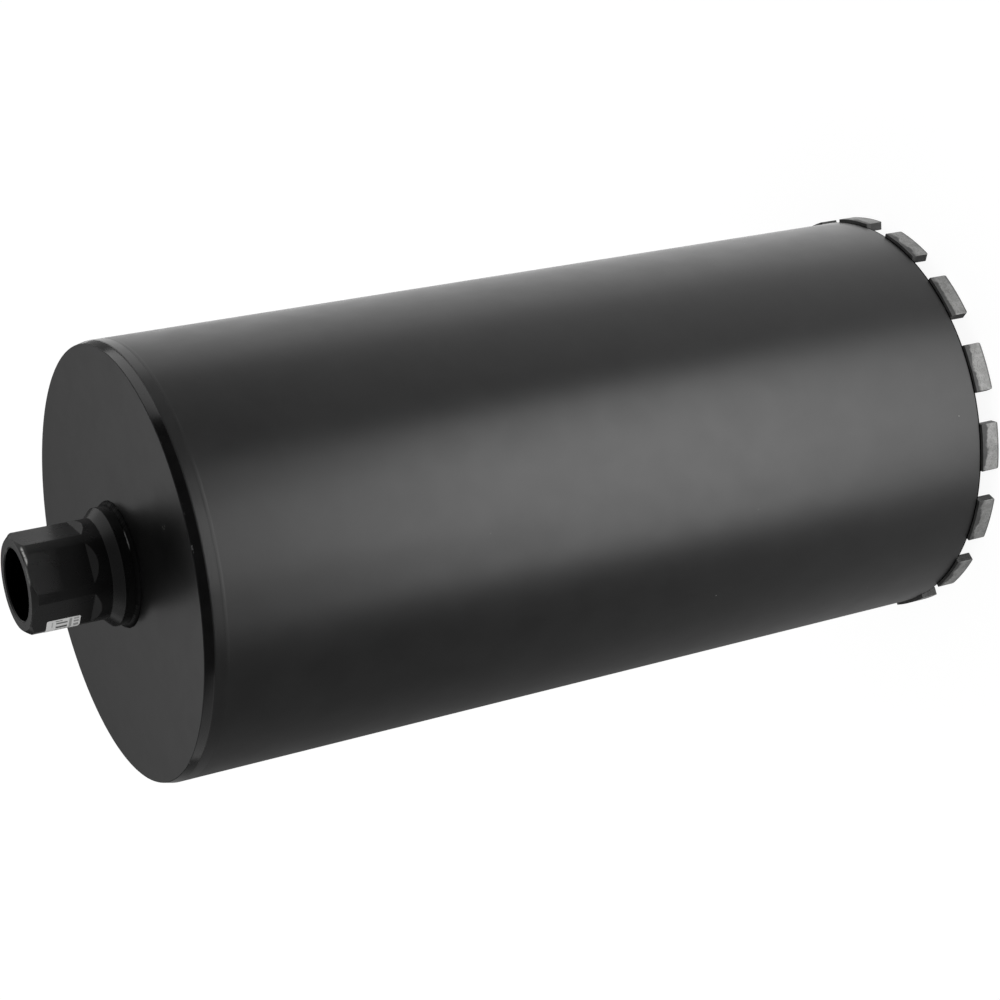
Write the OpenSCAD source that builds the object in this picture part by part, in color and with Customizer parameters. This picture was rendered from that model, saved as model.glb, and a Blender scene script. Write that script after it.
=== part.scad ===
// Diamond core bit for dry and wet drilling: a steel barrel with a turned end plate,
// a female-threaded hub on top and a ring of sintered segments at the open end.
// It stands on its segments: Z is the drilling axis, the hub is up and z = 0 is the
// plane of the segments' tips. The first spanner flat of the hub faces +X.

/* [Cut] */
// Cutting diameter over the segments, from which the bit takes its name
cut_d = 200; // [124:0.5:303]

/* [Barrel] */
// Wall of the barrel tube
tube_wall = 2; // [1.6:0.1:3]
// Length from the open rim of the tube to the outer face of the end plate
barrel_len = 400; // [200:5:600]

/* [End plate] */
// Height of the plate's rim that shows above the tube
plate_rim_h = 10; // [7:0.5:16]
// Length along the axis of the bevel at the plate's outer edge
plate_bevel_h = 4.4; // [2:0.1:5]
// Depth of that bevel towards the axis
plate_bevel_in = 1.1; // [0.5:0.1:3]
// Height of the step that centres the plate inside the tube
plate_step_h = 4; // [2:0.5:10]
// Radial clearance of that step in the tube
step_clear = 0.1; // [0.05:0.05:0.3]
// Small bevel at the free edge of the step
step_bevel = 0.8; // [0.4:0.1:1.5]

/* [Rim weld] */
// Width along the axis of the groove between tube and plate, which the weld fills
rim_weld_w = 1.8; // [1:0.1:3]
// Depth of that groove, less than the tube's wall
rim_weld_deep = 1; // [0.6:0.1:1.4]
// Height of the weld above the ground surface
rim_weld_proud = 0.12; // [0.05:0.01:0.3]

/* [Hub] */
// Height of the hub above the end plate
hub_h = 45.8; // [36:0.2:70]
// Diameter of the round bar that the flats are milled into
hub_d = 44.8; // [43:0.1:46]
// Distance across the spanner flats
hub_af = 41; // [38:0.5:42]
// Height above the end plate at which the flats start to run out
hub_shoulder_h = 18.4; // [14:0.1:24]
// Angle from the axis of the ramp in which a flat runs out into the bar
ramp_angle = 31; // [25:1:60]
// Diameter of the foot flange
flange_d = 52.8; // [50:0.2:70]
// Height of the flange's straight rim
flange_h = 6.3; // [4:0.1:9]
// Length along the axis of the bevel round the mouth
mouth_bevel = 2.2; // [1:0.1:3]
// Diameter of the spigot that passes through the end plate
spigot_d = 36; // [30:0.5:42]
// Radial clearance of the spigot in the end plate
spigot_clear = 0.05; // [0.02:0.01:0.2]

/* [Hub bore] */
// Major diameter of the female thread, which stays smooth here
thread_major_d = 31.8; // [28:0.1:34]
// Depth of the threaded bore below the mouth
thread_depth = 34; // [20:0.5:40]
// Bevel at the mouth of the bore
bore_bevel = 0.6; // [0.2:0.05:1]
// Diameter of the passage for dust or water below the thread
passage_d = 22; // [12:0.5:26]

/* [Hub weld] */
// Leg of the fillet weld round the foot of the flange
hub_weld_leg = 2; // [1:0.1:4]

/* [Segments] */
// Number of segments round the rim
seg_count = 16; // [6:2:24]
// How far a segment stands out beyond the tube's outside, so that the tube clears the hole
seg_proud = 1.5; // [0.5:0.1:2]
// Radial thickness of a segment
seg_thick = 4; // [3.4:0.1:5]
// Length of a segment along the rim
seg_len = 23.4; // [16:0.1:30]
// Height of a segment
seg_h = 9.5; // [7:0.5:15]
// Radius of a segment's free corners
seg_corner_r = 1; // [0.3:0.1:2]
// Turn of the first segment from the first spanner flat, in degrees
seg_turn = -2; // [-11:0.1:11]

/* [Label] */
// Length of the sticker along the axis
label_len = 15; // [8:0.5:20]
// Width of the sticker, seen square to its flat
label_w = 10; // [6:0.5:14]
// Thickness of the sticker
label_thick = 0.15; // [0.1:0.01:0.4]
// Distance of the sticker's upper edge below the mouth
label_drop = 7.2; // [4:0.1:12]
// Distance of the sticker's near edge from the middle of its flat
label_side = 3.2; // [0:0.1:6]

/* [Hidden] */
$fn = 96;
// Allowance by which cutters run past what they cut
past = 1;

cut_r = cut_d / 2;
seg_inner_r = cut_r - seg_thick;
seg_step = 360 / seg_count;

tube_r = cut_r - seg_proud;
tube_inner_r = tube_r - tube_wall;
rim_z = seg_h;
plate_face_z = rim_z + barrel_len;
joint_z = plate_face_z - plate_rim_h;
step_z = joint_z - plate_step_h;
step_r = tube_inner_r - step_clear;

hub_r = hub_d / 2;
flange_r = flange_d / 2;
spigot_r = spigot_d / 2;
mouth_z = plate_face_z + hub_h;
shoulder_z = plate_face_z + hub_shoulder_h;
ramp_out_r = hub_r + past;
cone_top_z = plate_face_z + flange_h + flange_r - hub_r;
bore_r = thread_major_d / 2;
bore_floor_z = mouth_z - thread_depth;
passage_r = passage_d / 2;
// Angle between one spanner flat and the next
flat_step = 60;
// Power that sets how full the weld's dome is: 1 is a quarter circle, 2 is flat
weld_dome = 1.4;
// The flat that carries the sticker, counted from the first
label_flat = -1;

function seg_name(i) = str("segment_", i < 10 ? "0" : "", i);

// Solid turned about Z from an outline of [radius, height] points
module turned(outline) {
    rotate_extrude() polygon(outline);
}

// Round bar with six flats milled along it
module flatted_bar(r, af, z0, z1) {
    translate([0, 0, z0]) intersection() {
        cylinder(r = r, h = z1 - z0);
        rotate(flat_step / 2) cylinder(r = af / 2 / cos(flat_step / 2), h = z1 - z0, $fn = 6);
    }
}

// Rectangle in the XY plane, centred on X, whose two upper corners are round
module round_topped(w, h, r) {
    translate([-w / 2, 0]) square([w, h - r]);
    translate([r - w / 2, 0]) square([w - 2 * r, h]);
    for (side = [-1, 1])
        translate([side * (w / 2 - r), h - r]) circle(r = r);
}

// The tube: bevelled for the weld at its upper end, plain at the open rim
module barrel_tube() {
    color("#1c1c1d") turned([
        [tube_inner_r, rim_z],
        [tube_r, rim_z],
        [tube_r, joint_z - rim_weld_w / 2],
        [tube_r - rim_weld_deep, joint_z],
        [tube_inner_r, joint_z]
    ]);
}

// The end plate: bevelled outer edge, weld bevel, centring step and hole for the hub
module end_plate() {
    hole_r = spigot_r + spigot_clear;
    color("#2b2b2c") turned([
        [hole_r, step_z],
        [step_r - step_bevel, step_z],
        [step_r, step_z + step_bevel],
        [step_r, joint_z],
        [tube_r - rim_weld_deep, joint_z],
        [tube_r, joint_z + rim_weld_w / 2],
        [tube_r, plate_face_z - plate_bevel_h],
        [tube_r - plate_bevel_in, plate_face_z],
        [hole_r, plate_face_z]
    ]);
}

// Weld bead that fills the groove between tube and plate, ground nearly flush
module rim_weld() {
    proud_r = tube_r + rim_weld_proud;
    color("#242425") turned([
        [tube_r - rim_weld_deep, joint_z],
        [tube_r, joint_z - rim_weld_w / 2],
        [proud_r, joint_z - rim_weld_w / 4],
        [proud_r, joint_z + rim_weld_w / 4],
        [tube_r, joint_z + rim_weld_w / 2]
    ]);
}

// What the cutter takes off one side of the hub: a flat that runs out in a ramp
module flat_cut() {
    ramp_h = (ramp_out_r - hub_af / 2) / tan(ramp_angle);
    rotate([90, 0, 0]) linear_extrude(height = hub_d, center = true) polygon([
        [hub_af / 2, shoulder_z],
        [ramp_out_r, shoulder_z - ramp_h],
        [ramp_out_r, mouth_z + past],
        [hub_af / 2, mouth_z + past]
    ]);
}

// The hub: one turned piece with a coned flange, milled flats and a stepped bore
module hub() {
    color("#202021") difference() {
        turned([
            [0, step_z],
            [spigot_r, step_z],
            [spigot_r, plate_face_z],
            [flange_r, plate_face_z],
            [flange_r, plate_face_z + flange_h],
            [hub_r, cone_top_z],
            [hub_r, mouth_z - mouth_bevel],
            [hub_r - mouth_bevel, mouth_z],
            [0, mouth_z]
        ]);
        for (i = [0 : 360 / flat_step - 1]) rotate(i * flat_step) flat_cut();
        translate([0, 0, step_z - past]) cylinder(r = passage_r, h = mouth_z - step_z);
        translate([0, 0, bore_floor_z]) cylinder(r = bore_r, h = thread_depth + past);
        translate([0, 0, mouth_z - bore_bevel])
            cylinder(r1 = bore_r, r2 = bore_r + bore_bevel + past, h = bore_bevel + past);
    }
}

// Fillet weld in the corner between the flange and the end plate, slightly domed
module hub_weld() {
    color("#242425") turned(concat(
        [[flange_r, plate_face_z]],
        [for (a = [0 : 22.5 : 90]) [
            flange_r + hub_weld_leg * pow(cos(a), weld_dome),
            plate_face_z + hub_weld_leg * pow(sin(a), weld_dome)
        ]]
    ));
}

// One sintered segment: ends parallel, faces on the cutting circle, free corners round
module segment(i) {
    color("#8f8f8d") rotate(seg_turn + (i - 1) * seg_step) intersection() {
        difference() {
            cylinder(r = cut_r, h = seg_h);
            translate([0, 0, -past]) cylinder(r = seg_inner_r, h = seg_h + 2 * past);
        }
        // The outline seen along a radius, hung from the rim and swept out through the ring
        translate([seg_inner_r - seg_thick, 0, seg_h]) rotate([-90, 0, -90])
            linear_extrude(height = 3 * seg_thick) round_topped(seg_len, seg_h, seg_corner_r);
    }
}

// Thin sticker that lies on a flat and wraps over the round land beside it
module label() {
    z1 = mouth_z - label_drop;
    z0 = z1 - label_len;
    color("#dededc") rotate(label_flat * flat_step) intersection() {
        difference() {
            flatted_bar(hub_r + label_thick, hub_af + 2 * label_thick, z0, z1);
            flatted_bar(hub_r, hub_af, z0 - past, z1 + past);
        }
        translate([0, -label_side - label_w, z0]) cube([hub_r + past, label_w, label_len]);
    }
}

barrel_tube();
end_plate();
rim_weld();
hub();
hub_weld();
label();
for (i = [1 : seg_count])
    segment(i);
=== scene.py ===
# Diamond core bit: the finished look of the bit, built round its solid model.
# Lengths are in metres in the part's own frame: Z is the drilling axis, the hub is up,
# z = 0 is the plane of the segments' tips and the first spanner flat faces +X.

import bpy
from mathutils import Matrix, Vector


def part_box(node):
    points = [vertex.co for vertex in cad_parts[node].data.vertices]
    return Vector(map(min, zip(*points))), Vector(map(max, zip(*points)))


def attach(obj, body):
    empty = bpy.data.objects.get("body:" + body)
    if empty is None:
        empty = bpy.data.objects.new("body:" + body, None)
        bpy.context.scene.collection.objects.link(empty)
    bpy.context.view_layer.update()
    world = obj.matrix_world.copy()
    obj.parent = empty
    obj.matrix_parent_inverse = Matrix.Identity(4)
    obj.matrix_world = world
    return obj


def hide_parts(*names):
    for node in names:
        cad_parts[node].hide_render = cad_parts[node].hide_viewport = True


bl_info = {
    "name": "Diamond Core Bit",
    "version": (1, 0, 0),
    "blender": (4, 5, 0),
    "location": "View3D > Sidebar > Core Bit",
    "description": "Builds a painted diamond core bit round its solid model, with a studio",
    "category": "Mesh",
}

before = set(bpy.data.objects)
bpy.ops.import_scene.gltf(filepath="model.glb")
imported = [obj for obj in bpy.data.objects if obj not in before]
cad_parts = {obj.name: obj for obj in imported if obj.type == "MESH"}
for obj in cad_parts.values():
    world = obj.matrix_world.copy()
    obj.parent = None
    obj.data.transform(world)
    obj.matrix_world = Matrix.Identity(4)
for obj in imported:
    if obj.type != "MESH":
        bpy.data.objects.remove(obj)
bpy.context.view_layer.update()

import math

import bmesh
import bpy
from bpy.props import FloatProperty, FloatVectorProperty, IntProperty, PointerProperty
from mathutils import Matrix, Vector, noise

TUBE_LOW, TUBE_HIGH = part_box("barrel_tube")
PLATE_LOW, PLATE_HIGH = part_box("end_plate")
HUB_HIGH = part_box("hub")[1]
LABEL_LOW, LABEL_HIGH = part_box("label")
BODY = "root"
FLAT_COUNT = 6
# Steps of a full turn for the pieces that are turned
BARREL_STEPS = 288
RIM_BEAD_STEPS = 576
HUB_STEPS = 192
THREAD_STEPS = 72
FLANGE_BEAD_STEPS = 720
# Roundings of the edges, from crisp to worn
MILLED_EDGE = 0.00012
CRISP = 0.00015
BROKEN = 0.0002
RIM_INSIDE = 0.00025
EASED = 0.0003
SMOOTH = 0.0004
WORN = 0.0006
# How far cutters run past what they cut
PAST = 0.001
# Height of the dull black line along the open rim: paint on the rim's edge, darkened to black as
# painted shade under that edge
RIM_LINE = 0.0008
# Depth of the skin of faces that count as lying on a surface
SKIN = 0.0004
# Height of the ground weld as a share of its full one, and how much that wanders
GROUND_SHARE, GROUND_WANDER = 0.12, 0.12
# Fullness of the flange's weld: 1 is a quarter circle, 2 is flat
WELD_DOME = 1.4
RIPPLE_COUNT = 110.0
# How far the weld's edge wanders
WELD_WANDER = 0.0002
# Overlap of the thread's ridge with its bore, and where it starts and ends above the floor
THREAD_SINK, THREAD_LEAD, THREAD_STOP = 0.00005, 0.0015, 0.0008
# Slices along a segment's length, height and thickness, and across the sticker
LONG_SLICES, HIGH_SLICES, DEEP_SLICES, STICKER_SLICES = 40, 16, 6, 48
# Places of single specks of dust
BARREL_DUST = ((0.09546, -0.02427, 0.02124),)
PLATE_DUST = ((0.07069, 0.00052, 0.4095), (0.0722, 0.0014, 0.4095), (0.0694, 0.0016, 0.4095))


# Settings

def length_setting(label, text, default):
    """A length that the user may change, in metres."""
    return FloatProperty(
        name=label, description=text, default=default, min=0.0, precision=5,
        subtype="DISTANCE", unit="LENGTH",
    )


def angle_setting(label, text, degrees):
    """An angle that the user may change, given in degrees."""
    return FloatProperty(
        name=label, description=text, default=math.radians(degrees),
        subtype="ANGLE", unit="ROTATION",
    )


def share_setting(label, text, default):
    """A share between 0 and 1 that the user may change."""
    return FloatProperty(
        name=label, description=text, default=default, min=0.0, max=1.0, subtype="FACTOR",
    )


def colour_setting(label, text, default):
    """A colour that the user may change."""
    return FloatVectorProperty(
        name=label, description=text, default=default, min=0.0, max=1.0, size=3,
        subtype="COLOR",
    )


def strength_setting(label, text, default):
    """A light's brightness that the user may change."""
    return FloatProperty(name=label, description=text, default=default, min=0.0)


class BarrelSettings(bpy.types.PropertyGroup):
    """Sizes of the tube, the end plate and the weld between them."""
    tube_r: length_setting("Tube radius", "Outside radius of the tube", TUBE_HIGH.x)
    tube_wall: length_setting("Tube wall", "Wall of the tube", 0.002)
    rim_z: length_setting("Rim height", "Height of the tube's open rim", TUBE_LOW.z)
    joint_z: length_setting("Joint height", "Height at which tube and plate meet", TUBE_HIGH.z)
    face_z: length_setting("Plate face", "Height of the plate's outer face", PLATE_HIGH.z)
    step_z: length_setting("Plate underside", "Height of the plate's step", PLATE_LOW.z)
    step_clear: length_setting("Step clearance", "Clearance of the step in the tube", 0.0001)
    step_bevel: length_setting("Step bevel", "Bevel at the free edge of the step", 0.0008)
    bevel_h: length_setting("Bevel height", "Height of the plate's edge bevel", 0.0044)
    bevel_in: length_setting("Bevel depth", "Depth of that bevel to the axis", 0.0011)
    hole_r: length_setting("Hub hole", "Radius of the plate's hole", 0.01805)
    weld_w: length_setting("Weld width", "Width of the weld's groove", 0.0018)
    weld_deep: length_setting("Weld depth", "Depth of the weld's groove", 0.001)
    weld_proud: length_setting("Weld height", "Height of the ground weld", 0.00012)


class HubSettings(bpy.types.PropertyGroup):
    """Sizes of the hub, its thread and its weld."""
    bar_r: length_setting("Bar radius", "Radius of the round bar", 0.0224)
    across_flats: length_setting("Across flats", "Distance across the flats", 0.041)
    shoulder_h: length_setting("Shoulder", "Height at which the flats run out", 0.0184)
    ramp_angle: angle_setting("Ramp", "Angle of the ramps from the axis", 31.0)
    flange_r: length_setting("Flange radius", "Radius of the foot flange", HUB_HIGH.x)
    flange_h: length_setting("Flange height", "Height of the flange's rim", 0.0063)
    mouth_z: length_setting("Mouth", "Height of the hub's mouth", HUB_HIGH.z)
    mouth_bevel: length_setting("Mouth bevel", "Bevel round the mouth", 0.0022)
    spigot_r: length_setting("Spigot radius", "Radius inside the plate", 0.018)
    bore_r: length_setting("Bore radius", "Major radius of the thread", 0.0159)
    bore_bevel: length_setting("Bore bevel", "Bevel at the mouth of the bore", 0.0006)
    bore_deep: length_setting("Bore depth", "Depth of the threaded bore", 0.034)
    passage_r: length_setting("Passage radius", "Radius below the thread", 0.011)
    pitch: length_setting("Pitch", "Pitch of the thread", 0.00363)
    minor_r: length_setting("Minor radius", "Minor radius of the thread", 0.0141)
    weld_leg: length_setting("Weld leg", "Leg of the weld at the flange", 0.002)
    ripple_deep: length_setting("Weld ripple", "Depth of the weld's ripples", 0.00008)


class SegmentSettings(bpy.types.PropertyGroup):
    """Sizes of the cutting segments."""
    count: IntProperty(name="Segments", description="Number of segments", default=16, min=2)
    outer_r: length_setting("Outer radius", "Outside radius of the segments", 0.1)
    thick: length_setting("Thickness", "Thickness towards the axis", 0.004)
    long: length_setting("Length", "Length along the rim", 0.0234)
    corner_r: length_setting("Corner", "Radius of the free corners", 0.001)
    edge_r: length_setting("Edge", "Radius of the other edges", 0.0002)
    turn: angle_setting("Turn", "Turn of the first segment", -2.0)
    grain_deep: length_setting("Grain", "Depth of the uneven surface", 0.00007)


class LabelSettings(bpy.types.PropertyGroup):
    """Sizes of the sticker on the hub."""
    low_z: length_setting("Lower edge", "Height of its lower edge", LABEL_LOW.z)
    high_z: length_setting("Upper edge", "Height of its upper edge", LABEL_HIGH.z)
    near: length_setting("Near edge", "Distance from the flat's middle", 0.0032)
    width: length_setting("Width", "Width, seen square to the flat", 0.01)
    thick: length_setting("Thickness", "Thickness of the film", 0.00015)
    corner_r: length_setting("Corner", "Radius of its corners", 0.0007)
    turn: angle_setting("Turn", "Turn of the flat that carries it", -60.0)


class FinishSettings(bpy.types.PropertyGroup):
    """Colours and gloss of the finishes."""
    barrel_black: colour_setting("Barrel paint", "Paint on the barrel", (0.006, 0.006, 0.0061))
    plate_black: colour_setting("Plate paint", "Paint on the plate", (0.006, 0.006, 0.0061))
    hub_black: colour_setting("Hub paint", "Paint on the hub", (0.003, 0.003, 0.0031))
    weld_black: colour_setting("Weld paint", "Paint on the welds", (0.003, 0.003, 0.0031))
    barrel_rough: share_setting("Barrel roughness", "Roughness of the barrel", 0.36)
    plate_rough: share_setting("Plate roughness", "Roughness of the plate", 0.31)
    hub_rough: share_setting("Hub roughness", "Roughness of the hub", 0.27)
    sintered_grey: colour_setting("Segments", "Sintered metal", (0.26, 0.26, 0.255))
    film_white: colour_setting("Sticker", "Film of the sticker", (0.85, 0.85, 0.84))
    spray_h: length_setting("Overspray", "Height of the paint on the segments", 0.0023)


class StudioSettings(bpy.types.PropertyGroup):
    """Floor, light and camera."""
    floor_r: length_setting("Floor radius", "Radius of the round floor", 6.0)
    front: strength_setting("Front panel", "Radiance of the low front panel", 3.8)
    side: strength_setting("Side panel", "Radiance of the side panel", 1.0)
    back: strength_setting("Back panels", "Radiance of the back panels", 1.15)
    sky: strength_setting("Dome", "Radiance of the dome overhead", 1.0)
    lens: FloatProperty(name="Lens", description="Focal length", default=91.48, unit="CAMERA")


# Shapes

def turned(outline, steps):
    """A ring turned about Z from (radius, height, rounding) corners of its closed outline."""
    shape = bmesh.new()
    corners = [shape.verts.new((radius, 0.0, height)) for radius, height, _ in outline]
    shape.faces.new(corners)
    for rounding in sorted({corner[2] for corner in outline if corner[2] > 0.0}):
        chosen = [v for v, corner in zip(corners, outline) if corner[2] == rounding]
        bmesh.ops.bevel(
            shape, geom=chosen, offset=rounding, segments=3, profile=0.5,
            affect="VERTICES", material=-1,
        )
    bmesh.ops.delete(shape, geom=shape.faces[:], context="FACES_ONLY")
    bmesh.ops.spin(
        shape, geom=shape.verts[:] + shape.edges[:], cent=(0.0, 0.0, 0.0),
        axis=(0.0, 0.0, 1.0), angle=math.tau, steps=steps, use_merge=True,
    )
    bmesh.ops.recalc_face_normals(shape, faces=shape.faces[:])
    return shape


def mesh_of(shape, name):
    """The bmesh as a new mesh."""
    mesh = bpy.data.meshes.new(name)
    shape.to_mesh(mesh)
    shape.free()
    return mesh


def slice_at(shape, at, normal):
    """Cuts every face that a plane meets."""
    everything = shape.verts[:] + shape.edges[:] + shape.faces[:]
    bmesh.ops.bisect_plane(shape, geom=everything, dist=1e-7, plane_co=at, plane_no=normal)


def turn_about_axis(shape, verts, angle):
    """Turns some of a shape's vertices about the drilling axis."""
    turn = Matrix.Rotation(angle, 3, "Z")
    bmesh.ops.rotate(shape, verts=verts, cent=(0.0, 0.0, 0.0), matrix=turn)


def finish_piece(mesh, name, material, nodes=(), sharp_deg=28.0, weighted=True):
    """Puts a mesh into the scene as a finished piece that rides on the part."""
    mesh.shade_smooth()
    mesh.set_sharp_from_angle(angle=math.radians(sharp_deg))
    mesh.materials.clear()
    mesh.materials.append(material)
    piece = bpy.data.objects.new(name, mesh)
    bpy.context.scene.collection.objects.link(piece)
    if weighted:
        weights = piece.modifiers.new("Weighted Normal", "WEIGHTED_NORMAL")
        weights.keep_sharp = True
    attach(piece, BODY)
    if nodes:
        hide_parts(*nodes)


def paint_faces(mesh, material, chosen):
    """Paints the faces whose centres are chosen with a second material."""
    mesh.materials.append(material)
    for polygon in mesh.polygons:
        if chosen(polygon.center):
            polygon.material_index = 1


def cut_away(mesh, cutter_shape):
    """A new mesh: what the closed cutter leaves of a mesh."""
    block = bpy.data.objects.new("cut_block", mesh)
    cutter = bpy.data.objects.new("cutter", mesh_of(cutter_shape, "cutter"))
    for thing in (block, cutter):
        bpy.context.scene.collection.objects.link(thing)
    cut = block.modifiers.new("Cut", "BOOLEAN")
    cut.operation = "DIFFERENCE"
    cut.solver = "EXACT"
    cut.object = cutter
    bpy.context.view_layer.update()
    depsgraph = bpy.context.evaluated_depsgraph_get()
    result = bpy.data.meshes.new_from_object(block.evaluated_get(depsgraph))
    for thing in (block, cutter):
        spent = thing.data
        bpy.data.objects.remove(thing)
        bpy.data.meshes.remove(spent)
    return result


# Materials

# Range that holds nearly all values of a noise
NOISE_LOW, NOISE_HIGH = 0.3, 0.7
DUST_GREY = (0.22, 0.22, 0.21, 1.0)
SPOT_GREY = (0.25, 0.25, 0.24, 1.0)
# Grey of the bare streak on the mouth's bevel, which also stands as a painted glint
BARE_METAL_AND_GLINT = (0.48, 0.48, 0.47, 1.0)
# Where wear is full and where it has faded out, off the edge that it follows
WEAR_FULL, WEAR_GONE = 0.0001, 0.0003
# Sides of the mouth's bevel, by the middle and half of the arc in degrees
DULL_SIDE = (-25.0, 65.0)
# The rubbed side is lighter: rubbed paint together with a painted highlight
RUBBED_SHEEN_SIDE = (150.0, 75.0)
# Streak worn bare on that bevel, lit as a painted glint, and its fainter tail: radii, soft edge,
# then the arc
STREAK_R, STREAK_SIDE = (0.0209, 0.0215, 0.0003), (24.0, 14.0)
TAIL_R, TAIL_SIDE = (0.0200, 0.0206, 0.0002), (2.0, 16.0)
TAIL_SHARE = 0.3
# Middle of the painted glint on the flange's weld, in degrees, and how far the glint reaches
# from it
GLINT_TURN = 12.0
GLINT_FULL, GLINT_GONE = 0.003, 0.0055
# Depth below the plate's face at which its upper edge is worn
UPPER_WEAR = 0.0006
# Height of the waves at the border of the paint on the segments
SPRAY_WAVE = 0.009
# Bars on the sticker: middle and half across it, middle and half along it, depth of the ink
LABEL_BARS = (
    (0.10, 0.030, 0.36, 0.10, 0.80),
    (0.25, 0.045, 0.45, 0.17, 0.85),
    (0.50, 0.060, 0.45, 0.17, 0.90),
    (0.74, 0.045, 0.45, 0.17, 0.85),
    (0.30, 0.180, 0.17, 0.02, 0.35),
    (0.50, 0.430, 0.71, 0.04, 0.55),
    (0.12, 0.050, 0.88, 0.075, 0.50),
    (0.30, 0.060, 0.88, 0.075, 0.60),
    (0.52, 0.070, 0.88, 0.075, 0.60),
)


def set_inputs(tree, node, inputs):
    """Sets each input of a node to a value or joins it to a socket."""
    for key, value in inputs.items():
        if isinstance(value, bpy.types.NodeSocket):
            tree.links.new(value, node.inputs[key])
        else:
            node.inputs[key].default_value = value


def add_node(tree, kind, inputs=None, **settings):
    """A node with its settings, each input set to a value or joined to a socket."""
    made = tree.nodes.new(kind)
    for name, value in settings.items():
        setattr(made, name, value)
    set_inputs(tree, made, inputs or {})
    return made


def shader_of(material):
    """A material's node tree and its shader."""
    tree = material.node_tree
    return tree, tree.nodes["Principled BSDF"]


def new_material(name):
    """A plain material, with its node tree and its shader."""
    material = bpy.data.materials.new(name)
    material.use_nodes = True
    return material, *shader_of(material)


def source_of(shader, name):
    """The socket that feeds an input of the shader."""
    return shader.inputs[name].links[0].from_socket


def place_on(tree):
    """Vector socket of the place in the part's own frame."""
    return add_node(tree, "ShaderNodeTexCoord").outputs["Object"]


def height_of(tree, where):
    """Value socket of the height of a place."""
    return add_node(tree, "ShaderNodeSeparateXYZ", {"Vector": where}).outputs["Z"]


def distance_to(tree, where, point):
    """Value socket of the distance between a place and a fixed point."""
    inputs = {0: where, 1: point}
    made = add_node(tree, "ShaderNodeVectorMath", inputs, operation="DISTANCE")
    return made.outputs["Value"]


def noise_at(tree, where, scale, detail=2.0, rough=0.5):
    """Value socket of a noise of that scale, in cells to a metre."""
    made = add_node(
        tree, "ShaderNodeTexNoise",
        {"Vector": where, "Scale": scale, "Detail": detail, "Roughness": rough},
    )
    return made.outputs["Fac"]


def remap(tree, value, low, high, to_low, to_high):
    """Value socket that maps low..high on to_low..to_high, with smooth ends."""
    made = add_node(
        tree, "ShaderNodeMapRange",
        {"Value": value, "From Min": low, "From Max": high,
         "To Min": to_low, "To Max": to_high},
        interpolation_type="SMOOTHSTEP",
    )
    return made.outputs["Result"]


def spread(tree, value, to_low, to_high):
    """Value socket that maps the range of a noise on to_low..to_high."""
    return remap(tree, value, NOISE_LOW, NOISE_HIGH, to_low, to_high)


def math_of(tree, operation, *values):
    """Value socket of a sum, product or other operation."""
    inputs = dict(enumerate(values))
    return add_node(tree, "ShaderNodeMath", inputs, operation=operation).outputs["Value"]


def product(tree, first, *others):
    """Value socket of two or more values multiplied."""
    for other in others:
        first = math_of(tree, "MULTIPLY", first, other)
    return first


def between(tree, value, low, high, soft):
    """Mask that is 1 from low to high, with soft ends."""
    rise = remap(tree, value, low - soft, low + soft, 0.0, 1.0)
    fall = remap(tree, value, high - soft, high + soft, 1.0, 0.0)
    return product(tree, rise, fall)


def close_to(tree, value, middle, full, gone):
    """Mask that is 1 up to the distance full from the middle, and 0 beyond gone."""
    apart = math_of(tree, "ABSOLUTE", math_of(tree, "SUBTRACT", value, middle))
    return remap(tree, apart, full, gone, 1.0, 0.0)


def on_side(tree, place, degrees, half):
    """Mask that is 1 in one direction from the axis and fades out at half an arc from it."""
    side, ahead = place.outputs["X"], place.outputs["Y"]
    angle = math.radians(degrees)
    across = math_of(tree, "MULTIPLY", ahead, math.cos(angle))
    across = math_of(tree, "MULTIPLY_ADD", side, -math.sin(angle), across)
    along = math_of(tree, "MULTIPLY", side, math.cos(angle))
    along = math_of(tree, "MULTIPLY_ADD", ahead, math.sin(angle), along)
    turn = math_of(tree, "ABSOLUTE", math_of(tree, "ARCTAN2", across, along))
    ends = math.radians(half)
    return remap(tree, turn, ends * 0.6, ends * 1.1, 1.0, 0.0)


def mix_colour(tree, share, first, second):
    """Colour socket between two colours or colour sockets."""
    made = add_node(tree, "ShaderNodeMix", {0: share, 6: first, 7: second}, data_type="RGBA")
    return made.outputs[2]


def bump_of(tree, height, strength, distance):
    """Normal socket of a fine relief."""
    inputs = {"Height": height, "Strength": strength, "Distance": distance}
    return add_node(tree, "ShaderNodeBump", inputs).outputs["Normal"]


def shade(colour, factor=1.0):
    """A colour, made darker or lighter, with its alpha."""
    return (colour[0] * factor, colour[1] * factor, colour[2] * factor, 1.0)


def grey(level):
    """A grey, with its alpha."""
    return (level, level, level, 1.0)


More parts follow.
